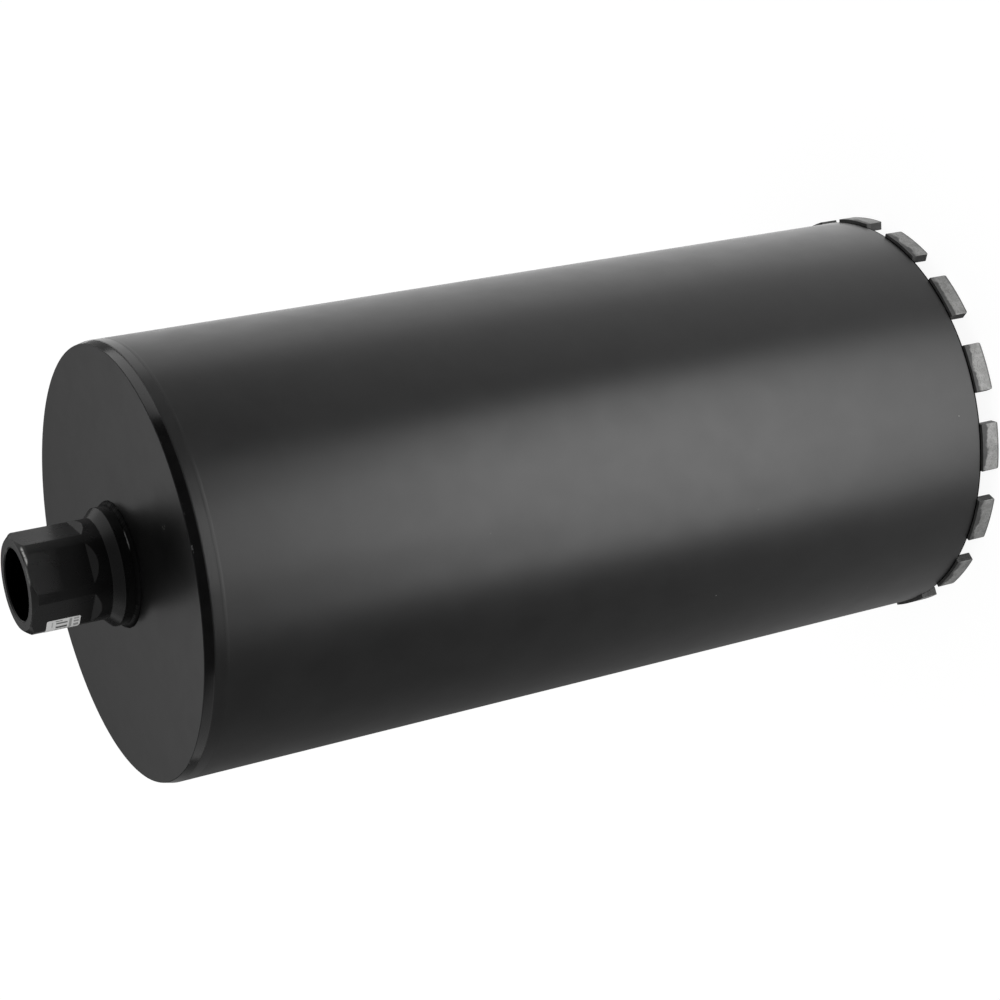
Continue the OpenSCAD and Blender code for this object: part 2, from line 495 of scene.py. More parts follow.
def black_paint(name, colour, rough, peel=0.05, specks=True, spots=()):
    """Black paint: faint mottling, uneven gloss, orange peel and a little dust."""
    material, tree, shader = new_material(name)
    where = place_on(tree)
    mottle = spread(tree, noise_at(tree, where, scale=45.0, detail=5.0, rough=0.6), 0.0, 1.0)
    paint = mix_colour(tree, mottle, shade(colour, 0.3), shade(colour, 0.9))
    if specks:
        cells = add_node(tree, "ShaderNodeTexVoronoi", {"Vector": where, "Scale": 150.0})
        near = remap(tree, cells.outputs["Distance"], 0.03, 0.06, 1.0, 0.0)
        chance = add_node(tree, "ShaderNodeSeparateColor", {"Color": cells.outputs["Color"]})
        few = math_of(tree, "GREATER_THAN", chance.outputs["Red"], 0.985)
        paint = mix_colour(tree, product(tree, near, few), paint, DUST_GREY)
    for spot in spots:
        dust = remap(tree, distance_to(tree, where, spot), 0.0001, 0.0004, 0.8, 0.0)
        paint = mix_colour(tree, dust, paint, SPOT_GREY)
    uneven = noise_at(tree, where, scale=60.0, detail=4.0, rough=0.6)
    skin = noise_at(tree, where, scale=1100.0, detail=3.0, rough=0.55)
    set_inputs(tree, shader, {
        "Base Color": paint,
        "Roughness": spread(tree, uneven, rough - 0.012, rough + 0.015),
        "Normal": bump_of(tree, skin, peel, 0.00005),
        "IOR": 1.5,
    })
    return material


def set_specular(material, level):
    """Sets how strongly a material mirrors its surroundings."""
    tree, shader = shader_of(material)
    set_inputs(tree, shader, {"Specular IOR Level": level})


def dead_black_shade(name, level):
    """Thin dull black paint without any gloss, dark enough to serve as painted shade."""
    material = black_paint(name, (level, level, level), 0.9, peel=0.0, specks=False)
    set_specular(material, 0.0)
    return material


def wear_and_sheen_mouth(material, size):
    """Scuffs the paint on the bevel of the hub's mouth, lightens its far side as a painted
    highlight and wears a streak of it bare that also stands as a painted glint.
    """
    tree, shader = shader_of(material)
    where = place_on(tree)
    place = add_node(tree, "ShaderNodeSeparateXYZ", {"Vector": where})
    level = {"X": place.outputs["X"], "Y": place.outputs["Y"]}
    arm = add_node(tree, "ShaderNodeCombineXYZ", level).outputs["Vector"]
    length = add_node(tree, "ShaderNodeVectorMath", {0: arm}, operation="LENGTH")
    reach = length.outputs["Value"]
    depth = math_of(tree, "SUBTRACT", size.mouth_z, place.outputs["Z"])
    patchy = noise_at(tree, where, scale=420.0, detail=4.0, rough=0.65)
    # All over the bevel, depth less reach is minus the radius at which the bevel starts
    bevel_r = size.bar_r - size.mouth_bevel
    off_bevel = math_of(tree, "SUBTRACT", depth, reach)
    on_bevel = remap(tree, off_bevel, WEAR_FULL - bevel_r, WEAR_GONE - bevel_r, 1.0, 0.0)
    scuffed = product(tree, on_bevel, spread(tree, patchy, 0.5, 1.0))
    dull = product(tree, scuffed, on_side(tree, place, *DULL_SIDE), 0.7)
    gloss = math_of(tree, "MAXIMUM", source_of(shader, "Roughness"), dull)
    colour = mix_colour(tree, scuffed, source_of(shader, "Base Color"), grey(0.014))
    # Far side lighter: rubbed paint, and a painted highlight on that side
    rubbed_sheen = product(tree, scuffed, on_side(tree, place, *RUBBED_SHEEN_SIDE))
    colour = mix_colour(tree, rubbed_sheen, colour, grey(0.07))
    # Bare streak, which is also a painted glint on the bevel
    streak = product(tree, between(tree, reach, *STREAK_R), on_side(tree, place, *STREAK_SIDE))
    tail = product(tree, between(tree, reach, *TAIL_R), on_side(tree, place, *TAIL_SIDE))
    streak = math_of(tree, "MULTIPLY_ADD", tail, TAIL_SHARE, streak)
    bare_and_glint = product(tree, streak, scuffed, remap(tree, patchy, 0.35, 0.55, 0.3, 1.3))
    colour = mix_colour(tree, bare_and_glint, colour, BARE_METAL_AND_GLINT)
    set_inputs(tree, shader, {"Base Color": colour, "Roughness": gloss})


def paint_crest_glint(material, flange_r, crest_z):
    """Paints a glint on the weld's top edge along a short arc: a painted highlight in light
    grey.
    """
    tree, shader = shader_of(material)
    where = place_on(tree)
    angle = math.radians(GLINT_TURN)
    middle = (flange_r * math.cos(angle), flange_r * math.sin(angle), crest_z)
    near = remap(tree, distance_to(tree, where, middle), GLINT_FULL, GLINT_GONE, 0.8, 0.0)
    height = height_of(tree, where)
    on_top = remap(tree, height, crest_z - 0.0004, crest_z - 0.0002, 0.0, 1.0)
    patchy = noise_at(tree, where, scale=300.0, detail=3.0, rough=0.6)
    edge_mark = product(tree, near, on_top, remap(tree, patchy, 0.35, 0.55, 0.2, 1.0))
    # Painted glint: the crest turns light grey
    colour = mix_colour(tree, edge_mark, source_of(shader, "Base Color"), grey(0.13))
    set_inputs(tree, shader, {"Base Color": colour})


def wear_edge(material, size):
    """Wears sparse dots along both edges of the plate's bevel and polishes the bevel."""
    tree, shader = shader_of(material)
    where = place_on(tree)
    below = math_of(tree, "SUBTRACT", size.face_z, height_of(tree, where))
    upper = close_to(tree, below, UPPER_WEAR, 0.0002, 0.0004)
    lower = close_to(tree, below, size.bevel_h, WEAR_FULL, WEAR_GONE)
    edges = math_of(tree, "ADD", upper, lower)
    patchy = noise_at(tree, where, scale=130.0, detail=5.0, rough=0.7)
    edge_mark = product(tree, edges, remap(tree, patchy, 0.6, 0.7, 0.0, 0.8))
    colour = mix_colour(tree, edge_mark, source_of(shader, "Base Color"), grey(0.12))
    under_face = remap(tree, below, 0.0002, 0.0005, 0.0, 1.0)
    over_rim = remap(tree, below, size.bevel_h - 0.0004, size.bevel_h, 1.0, 0.0)
    bevel = product(tree, under_face, over_rim)
    polish = remap(tree, bevel, 0.0, 1.0, 1.0, 0.55)
    gloss = product(tree, source_of(shader, "Roughness"), polish)
    set_inputs(tree, shader, {"Base Color": colour, "Roughness": gloss})


def sintered_metal(name, finish, rim_z):
    """Matt grey sintered metal with grit, whose foot carries overspray of the black paint, with
    painted shade on its end faces and along its tips.
    """
    material, tree, shader = new_material(name)
    bright = finish.sintered_grey
    where = place_on(tree)
    height = height_of(tree, where)
    blotch = noise_at(tree, where, scale=260.0, detail=5.0, rough=0.65)
    wave = noise_at(tree, where, scale=120.0, detail=3.0, rough=0.6)
    border_z = rim_z - finish.spray_h - SPRAY_WAVE / 2
    border = math_of(tree, "MULTIPLY_ADD", wave, SPRAY_WAVE, border_z)
    above = math_of(tree, "SUBTRACT", height, border)
    spray = remap(tree, above, -0.0007, 0.0008, 0.0, 1.0)
    blotched = spread(tree, blotch, 0.0, 1.0)
    metal = mix_colour(tree, blotched, shade(bright, 0.78), shade(bright, 1.18))
    grit = add_node(tree, "ShaderNodeTexVoronoi", {"Vector": where, "Scale": 1900.0})
    grain = add_node(tree, "ShaderNodeSeparateColor", {"Color": grit.outputs["Color"]})
    dark = remap(tree, grain.outputs["Red"], 0.55, 1.0, 0.0, 0.5)
    metal = mix_colour(tree, dark, metal, shade(bright, 0.45))
    # Painted shade: the end faces go nearly black
    shaded_end_face = add_node(tree, "ShaderNodeAttribute", attribute_name="shaded_end_face").outputs["Fac"]
    metal = mix_colour(tree, product(tree, shaded_end_face, 0.92), metal, shade(bright, 0.02))
    # Painted shade: darker towards the tips
    tip_shade = remap(tree, height, 0.0004, 0.0011, 0.85, 0.0)
    metal = mix_colour(tree, tip_shade, metal, shade(bright, 0.2))
    film = mix_colour(tree, blotch, shade(bright, 0.04), shade(bright, 0.28))
    rough_skin = noise_at(tree, where, scale=900.0, detail=6.0, rough=0.7)
    relief = math_of(tree, "MULTIPLY_ADD", grit.outputs["Distance"], -0.6, rough_skin)
    set_inputs(tree, shader, {
        "Base Color": mix_colour(tree, spray, metal, film),
        "Roughness": remap(tree, spray, 0.0, 1.0, 0.55, 0.6),
        "Metallic": remap(tree, spray, 0.0, 1.0, 0.35, 0.0),
        "Normal": bump_of(tree, relief, 0.7, 0.00012),
    })
    return material


def printed_film(name, finish):
    """Matt white film printed with plain bars, which follow the sticker's own UV map."""
    material, tree, shader = new_material(name)
    spot = add_node(tree, "ShaderNodeUVMap", uv_map="film").outputs["UV"]
    place = add_node(tree, "ShaderNodeSeparateXYZ", {"Vector": spot})
    colour = shade(finish.film_white)
    for across_mid, across_half, along_mid, along_half, ink in LABEL_BARS:
        in_width = math_of(tree, "COMPARE", place.outputs["X"], across_mid, across_half)
        in_length = math_of(tree, "COMPARE", place.outputs["Y"], along_mid, along_half)
        inked = product(tree, in_width, in_length, ink)
        colour = mix_colour(tree, inked, colour, grey(0.05))
    fibre = noise_at(tree, spot, scale=60.0, detail=4.0, rough=0.6)
    set_inputs(tree, shader, {
        "Base Color": colour,
        "Roughness": 0.5,
        "Normal": bump_of(tree, fibre, 0.1, 0.00005),
    })
    return material


def pale_floor(name):
    """Near-white floor that keeps a faint contact shadow."""
    material, tree, shader = new_material(name)
    set_inputs(tree, shader, {
        "Base Color": grey(0.13),
        "Roughness": 0.9,
        "Specular IOR Level": 0.0,
        "Emission Color": grey(1.0),
        "Emission Strength": 0.93,
    })
    return material


# Operators

class COREBIT_OT_barrel(bpy.types.Operator):
    """Turn the barrel tube, with its open rim rounded, and paint it black"""
    bl_idname = "corebit.barrel"
    bl_label = "Barrel"

    def execute(self, context):
        size = context.scene.corebit_barrel
        finish = context.scene.corebit_finish
        inner_r = size.tube_r - size.tube_wall
        shape = turned([
            (inner_r, size.rim_z, RIM_INSIDE),
            (size.tube_r, size.rim_z, EASED),
            (size.tube_r, size.rim_z + RIM_LINE, 0.0),
            (size.tube_r, size.joint_z - size.weld_w / 2, 0.0),
            (size.tube_r - size.weld_deep, size.joint_z, 0.0),
            (inner_r, size.joint_z, 0.0),
        ], BARREL_STEPS)
        paint = black_paint(
            "barrel_paint", finish.barrel_black, finish.barrel_rough, spots=BARREL_DUST
        )
        mesh = mesh_of(shape, "barrel")
        finish_piece(mesh, "barrel", paint, ["barrel_tube"])
        outer_r = size.tube_r - SKIN
        line_z = size.rim_z + RIM_LINE
        # Dull black line along the rim's edge: its paint, made black as painted shade under that
        # edge
        paint_faces(
            mesh, dead_black_shade("rim_shade_black", 0.001),
            lambda centre: centre.to_2d().length > outer_r and centre.z < line_z,
        )
        return {"FINISHED"}


class COREBIT_OT_end_plate(bpy.types.Operator):
    """Turn the end plate with its bevelled edge and paint it black"""
    bl_idname = "corebit.end_plate"
    bl_label = "End Plate"

    def execute(self, context):
        size = context.scene.corebit_barrel
        finish = context.scene.corebit_finish
        step_r = size.tube_r - size.tube_wall - size.step_clear
        shape = turned([
            (size.hole_r, size.step_z, 0.0),
            (step_r - size.step_bevel, size.step_z, BROKEN),
            (step_r, size.step_z + size.step_bevel, BROKEN),
            (step_r, size.joint_z, 0.0),
            (size.tube_r - size.weld_deep, size.joint_z, 0.0),
            (size.tube_r, size.joint_z + size.weld_w / 2, 0.0),
            (size.tube_r, size.face_z - size.bevel_h, WORN),
            (size.tube_r - size.bevel_in, size.face_z, EASED),
            (size.hole_r, size.face_z, 0.0),
        ], BARREL_STEPS)
        paint = black_paint(
            "plate_paint", finish.plate_black, finish.plate_rough, specks=False, spots=PLATE_DUST
        )
        wear_edge(paint, size)
        mesh = mesh_of(shape, "plate")
        finish_piece(mesh, "plate", paint, ["end_plate"])
        return {"FINISHED"}


class COREBIT_OT_rim_weld(bpy.types.Operator):
    """Lay the weld between tube and plate, ground nearly flush"""
    bl_idname = "corebit.rim_weld"
    bl_label = "Rim Weld"

    def execute(self, context):
        size = context.scene.corebit_barrel
        finish = context.scene.corebit_finish
        proud_r = size.tube_r + size.weld_proud
        shape = turned([
            (size.tube_r - size.weld_deep, size.joint_z, 0.0),
            (size.tube_r, size.joint_z - size.weld_w / 2, 0.0),
            (proud_r, size.joint_z - size.weld_w / 4, BROKEN),
            (proud_r, size.joint_z + size.weld_w / 4, BROKEN),
            (size.tube_r, size.joint_z + size.weld_w / 2, 0.0),
        ], RIM_BEAD_STEPS)
        for vert in shape.verts:
            around = Vector((vert.co.x, vert.co.y, 0.0))
            if around.length > size.tube_r + 1e-7:
                share = GROUND_SHARE + GROUND_WANDER * noise.noise(vert.co * 90.0)
                reach = size.tube_r + (around.length - size.tube_r) * share
                vert.co += around.normalized() * (reach - around.length)
        paint = black_paint("weld_paint", finish.barrel_black, finish.barrel_rough)
        mesh = mesh_of(shape, "rim_bead")
        finish_piece(mesh, "rim_bead", paint, ["rim_weld"], 60.0, False)
        return {"FINISHED"}


def flat_cutter(size, face_z):
    """Closed prisms, one for each spanner flat, that run out in a ramp."""
    flat_r = size.across_flats / 2
    out_r = size.bar_r + PAST
    shoulder_z = face_z + size.shoulder_h
    ramp_h = (out_r - flat_r) / math.tan(size.ramp_angle)
    # Half the cutter's width: more than the flat's, and clear of the next cutter
    half = flat_r * math.tan(math.pi / FLAT_COUNT) * 0.95
    outline = [
        (flat_r, shoulder_z),
        (out_r, shoulder_z - ramp_h),
        (out_r, size.mouth_z + PAST),
        (flat_r, size.mouth_z + PAST),
    ]
    shape = bmesh.new()
    for count in range(FLAT_COUNT):
        corners = [shape.verts.new((x, -half, z)) for x, z in outline]
        face = shape.faces.new(corners)
        grown = bmesh.ops.extrude_face_region(shape, geom=[face])
        moved = [item for item in grown["geom"] if isinstance(item, bmesh.types.BMVert)]
        bmesh.ops.translate(shape, verts=moved, vec=(0.0, 2 * half, 0.0))
        turn_about_axis(shape, corners + moved, count * math.tau / FLAT_COUNT)
    bmesh.ops.recalc_face_normals(shape, faces=shape.faces[:])
    return shape


def is_milled(face, size, face_z):
    """Whether a face of the hub is a spanner flat or its ramp."""
    step = math.tau / FLAT_COUNT
    turn = round(math.atan2(face.normal.y, face.normal.x) / step) * step
    out = Vector((math.cos(turn), math.sin(turn), 0.0))
    middle = face.calc_center_median()
    if middle.z < face_z + size.flange_h or face.normal.dot(out) < 0.5:
        return False
    if abs(face.normal.dot(out) - 1.0) < 1e-4:
        return abs(middle.dot(out) - size.across_flats / 2) < 1e-5
    on_ramp = abs(face.normal.dot(out) - math.cos(size.ramp_angle)) < 1e-3
    return on_ramp and middle.z < face_z + size.shoulder_h + 1e-5


class COREBIT_OT_hub(bpy.types.Operator):
    """Turn the hub, mill its spanner flats, cut its thread and paint it black"""
    bl_idname = "corebit.hub"
    bl_label = "Hub"

    def execute(self, context):
        barrel = context.scene.corebit_barrel
        size = context.scene.corebit_hub
        finish = context.scene.corebit_finish
        flange_top = barrel.face_z + size.flange_h
        floor_z = size.mouth_z - size.bore_deep
        shape = turned([
            (size.passage_r, barrel.step_z, 0.0),
            (size.spigot_r, barrel.step_z, SMOOTH),
            (size.spigot_r, barrel.face_z, 0.0),
            (size.flange_r, barrel.face_z, 0.0),
            (size.flange_r, flange_top, CRISP),
            (size.bar_r, flange_top + size.flange_r - size.bar_r, BROKEN),
            (size.bar_r, size.mouth_z - size.mouth_bevel, 0.0),
            (size.bar_r - size.mouth_bevel, size.mouth_z, BROKEN),
            (size.bore_r + size.bore_bevel, size.mouth_z, BROKEN),
            (size.bore_r, size.mouth_z - size.bore_bevel, 0.0),
            (size.bore_r, floor_z, 0.0),
            (size.passage_r, floor_z, EASED),
        ], HUB_STEPS)
        milled = cut_away(mesh_of(shape, "hub_body"), flat_cutter(size, barrel.face_z))
        shape = bmesh.new()
        shape.from_mesh(milled)
        bpy.data.meshes.remove(milled)
        flats = {face for face in shape.faces if is_milled(face, size, barrel.face_z)}
        if len(flats) < 2 * FLAT_COUNT:
            raise RuntimeError("The spanner flats were not milled into the hub")
        bmesh.ops.remove_doubles(shape, verts=shape.verts[:], dist=2e-6)
        crisp = [
            edge for edge in shape.edges
            if len(edge.link_faces) == 2
            and any(face in flats for face in edge.link_faces)
            and edge.calc_face_angle() > math.radians(4.0)
        ]
        bmesh.ops.bevel(
            shape, geom=crisp, offset=MILLED_EDGE, segments=2, profile=0.5,
            affect="EDGES", material=-1, clamp_overlap=True,
        )
        paint = black_paint("hub_paint", finish.hub_black, finish.hub_rough)
        wear_and_sheen_mouth(paint, size)
        mesh = mesh_of(shape, "hub_body")
        finish_piece(mesh, "hub_body", paint, ["hub"], 30.0)
        # Bore and thread in dull black without gloss: dark thread, and painted shade deep in the
        # bore
        dull = dead_black_shade("bore_shade_black", 0.0005)
        wall_r = size.bore_r + 0.00005
        low_z = floor_z - 0.0005
        paint_faces(
            mesh, dull, lambda centre: centre.to_2d().length < wall_r and centre.z > low_z
        )
        self.cut_thread(size, floor_z, dull)
        return {"FINISHED"}

    def cut_thread(self, size, floor_z, paint):
        """The ridge of the female thread, which fades into the bore at both ends."""
        base_r = size.bore_r + THREAD_SINK
        flank = (size.bore_r - size.minor_r) * math.tan(math.radians(30.0))
        half_root = size.pitch * 7 / 16
        low_z = floor_z + THREAD_LEAD
        turns = (size.mouth_z - low_z) / size.pitch
        shape = bmesh.new()
        outline = [
            (base_r, -half_root),
            (size.minor_r, flank - half_root),
            (size.minor_r, half_root - flank),
            (base_r, half_root),
        ]
        corners = [shape.verts.new((r, 0.0, low_z + z)) for r, z in outline]
        face = shape.faces.new(corners)
        bmesh.ops.subdivide_edges(shape, edges=shape.edges[:], cuts=2)
        bmesh.ops.delete(shape, geom=shape.faces[:], context="FACES_ONLY")
        count = int(turns * THREAD_STEPS)
        bmesh.ops.spin(
            shape, geom=shape.verts[:] + shape.edges[:], cent=(0.0, 0.0, 0.0),
            axis=(0.0, 0.0, 1.0), dvec=(0.0, 0.0, size.pitch / THREAD_STEPS),
            angle=count * math.tau / THREAD_STEPS, steps=count,
        )
        bmesh.ops.holes_fill(shape, edges=[e for e in shape.edges if e.is_boundary], sides=0)
        bmesh.ops.recalc_face_normals(shape, faces=shape.faces[:])
        top_z = size.mouth_z - size.bore_bevel
        for vert in shape.verts:
            reach = math.hypot(vert.co.x, vert.co.y)
            free = min(top_z - vert.co.z, vert.co.z - floor_z - THREAD_LEAD)
            least = max(base_r - max(free, 0.0), size.minor_r)
            wanted = max(reach, least)
            vert.co.x *= wanted / reach
            vert.co.y *= wanted / reach
            vert.co.z = min(max(vert.co.z, floor_z + THREAD_STOP), top_z)
        bmesh.ops.remove_doubles(shape, verts=shape.verts[:], dist=5e-6)
        bmesh.ops.dissolve_degenerate(shape, edges=shape.edges[:], dist=2e-6)
        mesh = mesh_of(shape, "hub_thread")
        finish_piece(mesh, "hub_thread", paint, (), 40.0, False)


class COREBIT_OT_hub_weld(bpy.types.Operator):
    """Lay the rippled weld round the foot of the hub's flange"""
    bl_idname = "corebit.hub_weld"
    bl_label = "Hub Weld"

    def execute(self, context):
        barrel = context.scene.corebit_barrel
        size = context.scene.corebit_hub
        finish = context.scene.corebit_finish
        outline = [(size.flange_r, barrel.face_z, 0.0)]
        for angle in range(0, 91, 15):
            out = max(math.cos(math.radians(angle)), 0.0) ** WELD_DOME
            up = math.sin(math.radians(angle)) ** WELD_DOME
            outline.append((
                size.flange_r + size.weld_leg * out, barrel.face_z + size.weld_leg * up, 0.0
            ))
        shape = turned(outline, FLANGE_BEAD_STEPS)
        foot = Vector((size.flange_r, 0.0, barrel.face_z))
        for vert in shape.verts:
            turn = math.atan2(vert.co.y, vert.co.x)
            reach = math.hypot(vert.co.x, vert.co.y)
            arm = Vector((reach, 0.0, vert.co.z)) - foot
            if arm.length < size.weld_leg * 0.3:
                continue
            lean = arm.z / size.weld_leg
            crest = 0.5 + 0.5 * math.cos(RIPPLE_COUNT * turn + 3.0 * lean)
            wander = noise.noise(Vector((math.cos(turn), math.sin(turn), 0.0)) * 9.0)
            grow = 1.0 - (size.ripple_deep * crest - WELD_WANDER * wander) / size.weld_leg
            reach = foot.x + arm.x * grow
            vert.co.x = math.cos(turn) * reach
            vert.co.y = math.sin(turn) * reach
            vert.co.z = foot.z + arm.z * grow
        paint = black_paint("bead_paint", finish.weld_black, 0.35, 0.1, False)
        # Painted glint on the weld's crest
        paint_crest_glint(paint, size.flange_r, barrel.face_z + size.weld_leg)
        set_specular(paint, 0.06)
        mesh = mesh_of(shape, "flange_bead")
        finish_piece(mesh, "flange_bead", paint, ["hub_weld"], 60.0, False)
        return {"FINISHED"}


class COREBIT_OT_segments(bpy.types.Operator):
    """Press the sintered segments and set them round the open rim"""
    bl_idname = "corebit.segments"
    bl_label = "Segments"

    def execute(self, context):
        rim_z = context.scene.corebit_barrel.rim_z
        size = context.scene.corebit_segments
        finish = context.scene.corebit_finish
        metal = sintered_metal("sintered_metal", finish, rim_z)
        for count in range(size.count):
            shape = self.press(size, rim_z, count)
            turn_about_axis(shape, shape.verts[:], size.turn + count * math.tau / size.count)
            node = f"segment_{count + 1:02d}"
            name = f"cutting_{node}"
            mesh = mesh_of(shape, name)
            finish_piece(mesh, name, metal, [node], 50.0, False)
        return {"FINISHED"}

    def press(self, size, rim_z, seed):
        """One segment in front of +X: parallel ends, bent faces, round free corners."""
        shape = bmesh.new()
        bmesh.ops.create_cube(shape, size=1.0)
        bmesh.ops.scale(shape, vec=(size.thick, size.long, rim_z), verts=shape.verts[:])
        bmesh.ops.translate(shape, vec=(0.0, 0.0, rim_z / 2), verts=shape.verts[:])
        tips = [
            edge for edge in shape.edges
            if all(vert.co.z < 1e-6 for vert in edge.verts)
            and abs(edge.verts[0].co.y - edge.verts[1].co.y) < 1e-6
        ]
        bmesh.ops.bevel(
            shape, geom=tips, offset=size.corner_r, segments=5, profile=0.5,
            affect="EDGES", material=-1,
        )
        long_edges = [
            edge for edge in shape.edges
            if abs(edge.verts[0].co.x - edge.verts[1].co.x) < 1e-6
            and min(vert.co.z for vert in edge.verts) < rim_z - 1e-6
        ]
        bmesh.ops.bevel(
            shape, geom=long_edges, offset=size.edge_r, segments=2, profile=0.5,
            affect="EDGES", material=-1,
        )
        for cut in range(1, LONG_SLICES):
            side = size.long * (cut / LONG_SLICES - 0.5)
            slice_at(shape, (0.0, side, 0.0), (0.0, 1.0, 0.0))
        for cut in range(1, HIGH_SLICES):
            slice_at(shape, (0.0, 0.0, rim_z * cut / HIGH_SLICES), (0.0, 0.0, 1.0))
        for cut in range(1, DEEP_SLICES):
            depth = size.thick * (cut / DEEP_SLICES - 0.5)
            slice_at(shape, (depth, 0.0, 0.0), (1.0, 0.0, 0.0))
        shape.normal_update()
        start = Vector((seed * 7.0, seed * 3.0, 0.0))
        for vert in shape.verts:
            if vert.co.z < rim_z - 1e-5:
                wander = noise.noise(vert.co * 700.0 + start)
                wander += 0.5 * noise.noise(vert.co * 1900.0 + start)
                sink = size.grain_deep * (0.5 + 0.35 * wander)
                vert.co -= vert.normal * max(sink, 0.0)
        # End faces are marked here for the painted shade that darkens them
        ends = shape.faces.layers.float.new("shaded_end_face")
        for face in shape.faces:
            face[ends] = 1.0 if abs(face.normal.y) > 0.9 else 0.0
        middle_r = size.outer_r - size.thick / 2
        for vert in shape.verts:
            vert.co.x = math.sqrt((middle_r + vert.co.x) ** 2 - vert.co.y ** 2)
        return shape


class COREBIT_OT_label(bpy.types.Operator):
    """Stick the plain printed label on its spanner flat, wrapped over the round land"""
    bl_idname = "corebit.label"
    bl_label = "Label"

    def execute(self, context):
        hub = context.scene.corebit_hub
        size = context.scene.corebit_label
        finish = context.scene.corebit_finish
        shape = bmesh.new()
        far = size.near + size.width
        corners = [
            shape.verts.new((0.0, -side, height))
            for side, height in (
                (size.near, size.low_z), (size.near, size.high_z),
                (far, size.high_z), (far, size.low_z),
            )
        ]
        shape.faces.new(corners)
        bmesh.ops.bevel(
            shape, geom=corners, offset=size.corner_r, segments=4, profile=0.5,
            affect="VERTICES", material=-1,
        )
        for cut in range(1, STICKER_SLICES):
            side = size.near + size.width * cut / STICKER_SLICES
            slice_at(shape, (0.0, -side, 0.0), (0.0, 1.0, 0.0))
        inner = shape.faces[:]
        grown = bmesh.ops.extrude_face_region(shape, geom=inner, use_keep_orig=True)
        lifted = {item for item in grown["geom"] if isinstance(item, bmesh.types.BMVert)}
        film = shape.loops.layers.uv.new("film")
        for face in shape.faces:
            for loop in face.loops:
                spot = loop.vert.co
                along = (size.high_z - spot.z) / (size.high_z - size.low_z)
                loop[film].uv = ((-spot.y - size.near) / size.width, along)
        for vert in shape.verts:
            lift = size.thick if vert in lifted else 0.0
            bar_r = hub.bar_r + lift
            land = math.sqrt(bar_r ** 2 - vert.co.y ** 2)
            vert.co.x = min(hub.across_flats / 2 + lift, land)
        turn_about_axis(shape, shape.verts[:], size.turn)
        bmesh.ops.recalc_face_normals(shape, faces=shape.faces[:])
        print_finish = printed_film("label_film", finish)
        mesh = mesh_of(shape, "sticker")
        finish_piece(mesh, "sticker", print_finish, ["label"], 35.0, False)
        return {"FINISHED"}


# Studio

# Radiance of the air in the gloss, by the sine of the height above the horizon
AIR_LEVELS = (
    (-1.0, 0.78), (-0.66, 0.66), (-0.48, 0.24), (-0.36, 0.2), (-0.28, 0.26), (-0.18, 0.2),
    (-0.05, 0.03), (0.25, 0.03), (0.42, 0.26), (0.6, 0.33), (0.87, 0.14), (1.0, 0.16),
)
MATT_LIGHT = 0.7
# Panels: direction in degrees, distance, lower and upper edge, width, then the setting that
# gives its radiance and the panel's share of it
PANELS = {
    "front_foot": (-13.0, 1.2, -1.0, -0.62, 2.4, "front", 1.0),
    "front_low": (-11.5, 1.2, -0.62, -0.27, 2.05, "front", 1.28),
    "front_top": (-8.5, 1.2, -0.27, -0.06, 0.86, "front", 1.15),
    "side_low": (125.0, 1.4, -1.9, 0.0, 1.6, "side", 1.0),
    "side_near": (72.0, 1.4, -1.9, -0.15, 1.3, "side", 0.5),
    "side_middle": (90.0, 1.4, 0.2, 0.52, 1.6, "side", 1.25),
    "side_upper": (132.0, 1.5, 0.55, 0.95, 1.1, "side", 0.5),
    "side_high": (100.0, 1.6, 1.02, 2.5, 2.4, "side", 0.26),
    "left_middle": (-100.0, 1.5, 0.2, 0.5, 1.7, "side", 0.55),
    "left_high": (-95.0, 1.5, 1.02, 1.8, 1.6, "side", 0.26),
    "back_low": (167.0, 1.6, -2.2, -0.12, 0.9, "back", 1.0),
    "back_high": (-173.0, 1.6, 0.97, 1.6, 1.9, "back", 0.42),
}
FLOOR_SIDES = 96
# Drop of the floor below the segments' tips, which keeps the two apart
FLOOR_GAP = 0.0001
SENSOR_WIDTH = 36.0
LENS_SHIFT = (-0.1, -0.05)
CAMERA_PLACE = (1.06732, -0.15171, 0.75370)
CAMERA_TURN = (-0.34283, 1.03499, -0.54180)


def sky_share(tree, height):
    """Value socket of a height from -1 to 1, as a share from 0 to 1."""
    made = add_node(tree, "ShaderNodeMapRange", {"Value": height, "From Min": -1.0})
    return made.outputs["Result"]


def panel_light(name, azimuth, distance, low_z, high_z, width, radiance):
    """A soft upright panel that faces the drilling axis and shows only in the gloss."""
    light = bpy.data.lights.new(name, "AREA")
    light.shape = "RECTANGLE"
    light.size = width
    light.size_y = high_z - low_z
    light.energy = radiance * math.pi * width * (high_z - low_z)
    lamp = bpy.data.objects.new(name, light)
    turn = math.radians(azimuth)
    lamp.location = (
        distance * math.cos(turn), distance * math.sin(turn), (low_z + high_z) / 2
    )
    lamp.rotation_euler = (math.pi / 2, 0.0, turn + math.pi / 2)
    lamp.visible_camera = False
    lamp.visible_diffuse = False
    bpy.context.scene.collection.objects.link(lamp)


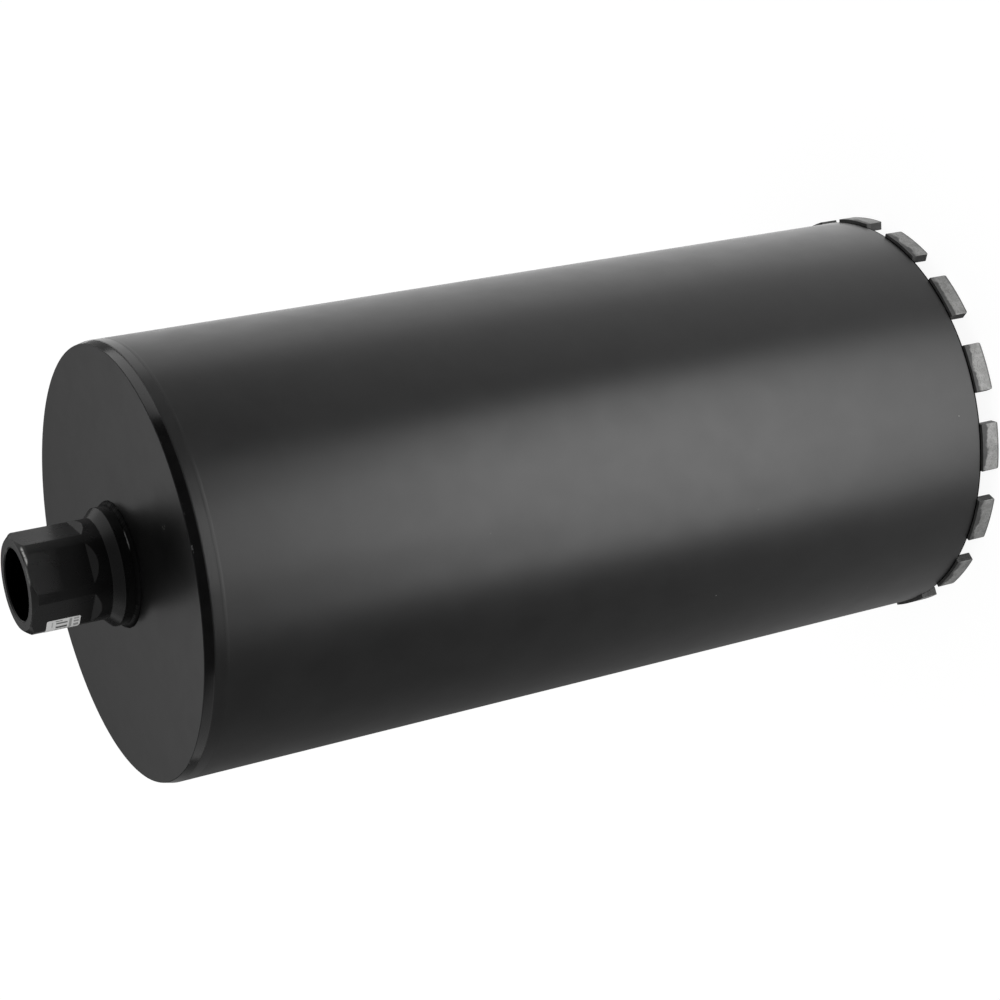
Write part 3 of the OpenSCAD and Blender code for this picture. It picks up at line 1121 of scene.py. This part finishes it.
def studio_air(strength):
    """World: white to the camera, soft to matt surfaces, and a dome to the gloss."""
    world = bpy.data.worlds.new("studio_air")
    world.use_nodes = True
    tree = world.node_tree
    path = add_node(tree, "ShaderNodeLightPath")
    where = add_node(tree, "ShaderNodeTexCoord").outputs["Generated"]
    share = sky_share(tree, height_of(tree, where))
    dome = add_node(tree, "ShaderNodeValToRGB", {"Fac": share})
    stops = dome.color_ramp.elements
    for place, level in AIR_LEVELS[1:-1]:
        stops.new((place + 1.0) / 2).color = shade(grey(level), strength)
    for stop, (place, level) in ((stops[0], AIR_LEVELS[0]), (stops[-1], AIR_LEVELS[-1])):
        stop.color = shade(grey(level), strength)
    matt = product(tree, path.outputs["Is Diffuse Ray"], MATT_LIGHT)
    shine = product(tree, path.outputs["Is Glossy Ray"], dome.outputs["Color"])
    air = math_of(tree, "ADD", matt, shine)
    air = math_of(tree, "ADD", air, path.outputs["Is Camera Ray"])
    set_inputs(tree, tree.nodes["Background"], {"Strength": air, "Color": grey(1.0)})
    bpy.context.scene.world = world


def place_camera(focal_length):
    """Places the camera, rolled so that it sees the standing bit as lying, hub to the left."""
    lens = bpy.data.cameras.new("camera")
    lens.sensor_width = SENSOR_WIDTH
    lens.lens = focal_length
    lens.shift_x, lens.shift_y = LENS_SHIFT
    camera = bpy.data.objects.new("camera", lens)
    camera.location = CAMERA_PLACE
    camera.rotation_euler = CAMERA_TURN
    bpy.context.scene.collection.objects.link(camera)
    bpy.context.scene.camera = camera


class COREBIT_OT_studio(bpy.types.Operator):
    """Lay the pale floor, hang the soft panels and place the camera"""
    bl_idname = "corebit.studio"
    bl_label = "Studio"

    def execute(self, context):
        size = context.scene.corebit_studio
        shape = bmesh.new()
        bmesh.ops.create_circle(shape, cap_ends=True, segments=FLOOR_SIDES, radius=size.floor_r)
        bmesh.ops.translate(shape, vec=(0.0, 0.0, -FLOOR_GAP), verts=shape.verts[:])
        floor = bpy.data.objects.new("floor", mesh_of(shape, "floor"))
        floor.data.materials.append(pale_floor("pale_floor"))
        floor.visible_glossy = False
        floor.visible_diffuse = False
        floor.visible_shadow = False
        context.scene.collection.objects.link(floor)
        for name, (*panel, setting, share) in PANELS.items():
            panel_light(name, *panel, getattr(size, setting) * share)
        studio_air(size.sky)
        place_camera(size.lens)
        context.scene.view_settings.view_transform = "Standard"
        return {"FINISHED"}


class COREBIT_PT_panel(bpy.types.Panel):
    """Lists the bit's pieces and the studio"""
    bl_idname = "COREBIT_PT_panel"
    bl_label = "Diamond Core Bit"
    bl_space_type = "VIEW_3D"
    bl_region_type = "UI"
    bl_category = "Core Bit"

    def draw(self, context):
        for operator in OPERATORS:
            self.layout.operator(operator.bl_idname)


SETTINGS = {
    "corebit_barrel": BarrelSettings,
    "corebit_hub": HubSettings,
    "corebit_segments": SegmentSettings,
    "corebit_label": LabelSettings,
    "corebit_finish": FinishSettings,
    "corebit_studio": StudioSettings,
}
OPERATORS = (
    COREBIT_OT_barrel,
    COREBIT_OT_end_plate,
    COREBIT_OT_rim_weld,
    COREBIT_OT_hub,
    COREBIT_OT_hub_weld,
    COREBIT_OT_segments,
    COREBIT_OT_label,
    COREBIT_OT_studio,
)


def register():
    """Registers the classes and hangs each group of settings on the scene."""
    for group in (*SETTINGS.values(), *OPERATORS, COREBIT_PT_panel):
        bpy.utils.register_class(group)
    for name, group in SETTINGS.items():
        setattr(bpy.types.Scene, name, PointerProperty(type=group))


def unregister():
    """Takes the settings and the classes away again."""
    for name in SETTINGS:
        delattr(bpy.types.Scene, name)
    for group in (COREBIT_PT_panel, *OPERATORS, *SETTINGS.values()):
        bpy.utils.unregister_class(group)


def main():
    """Builds the bit and its studio."""
    register()
    bpy.ops.corebit.barrel()
    bpy.ops.corebit.end_plate()
    bpy.ops.corebit.rim_weld()
    bpy.ops.corebit.hub()
    bpy.ops.corebit.hub_weld()
    bpy.ops.corebit.segments()
    bpy.ops.corebit.label()
    bpy.ops.corebit.studio()


if __name__ == "__main__":
    main()
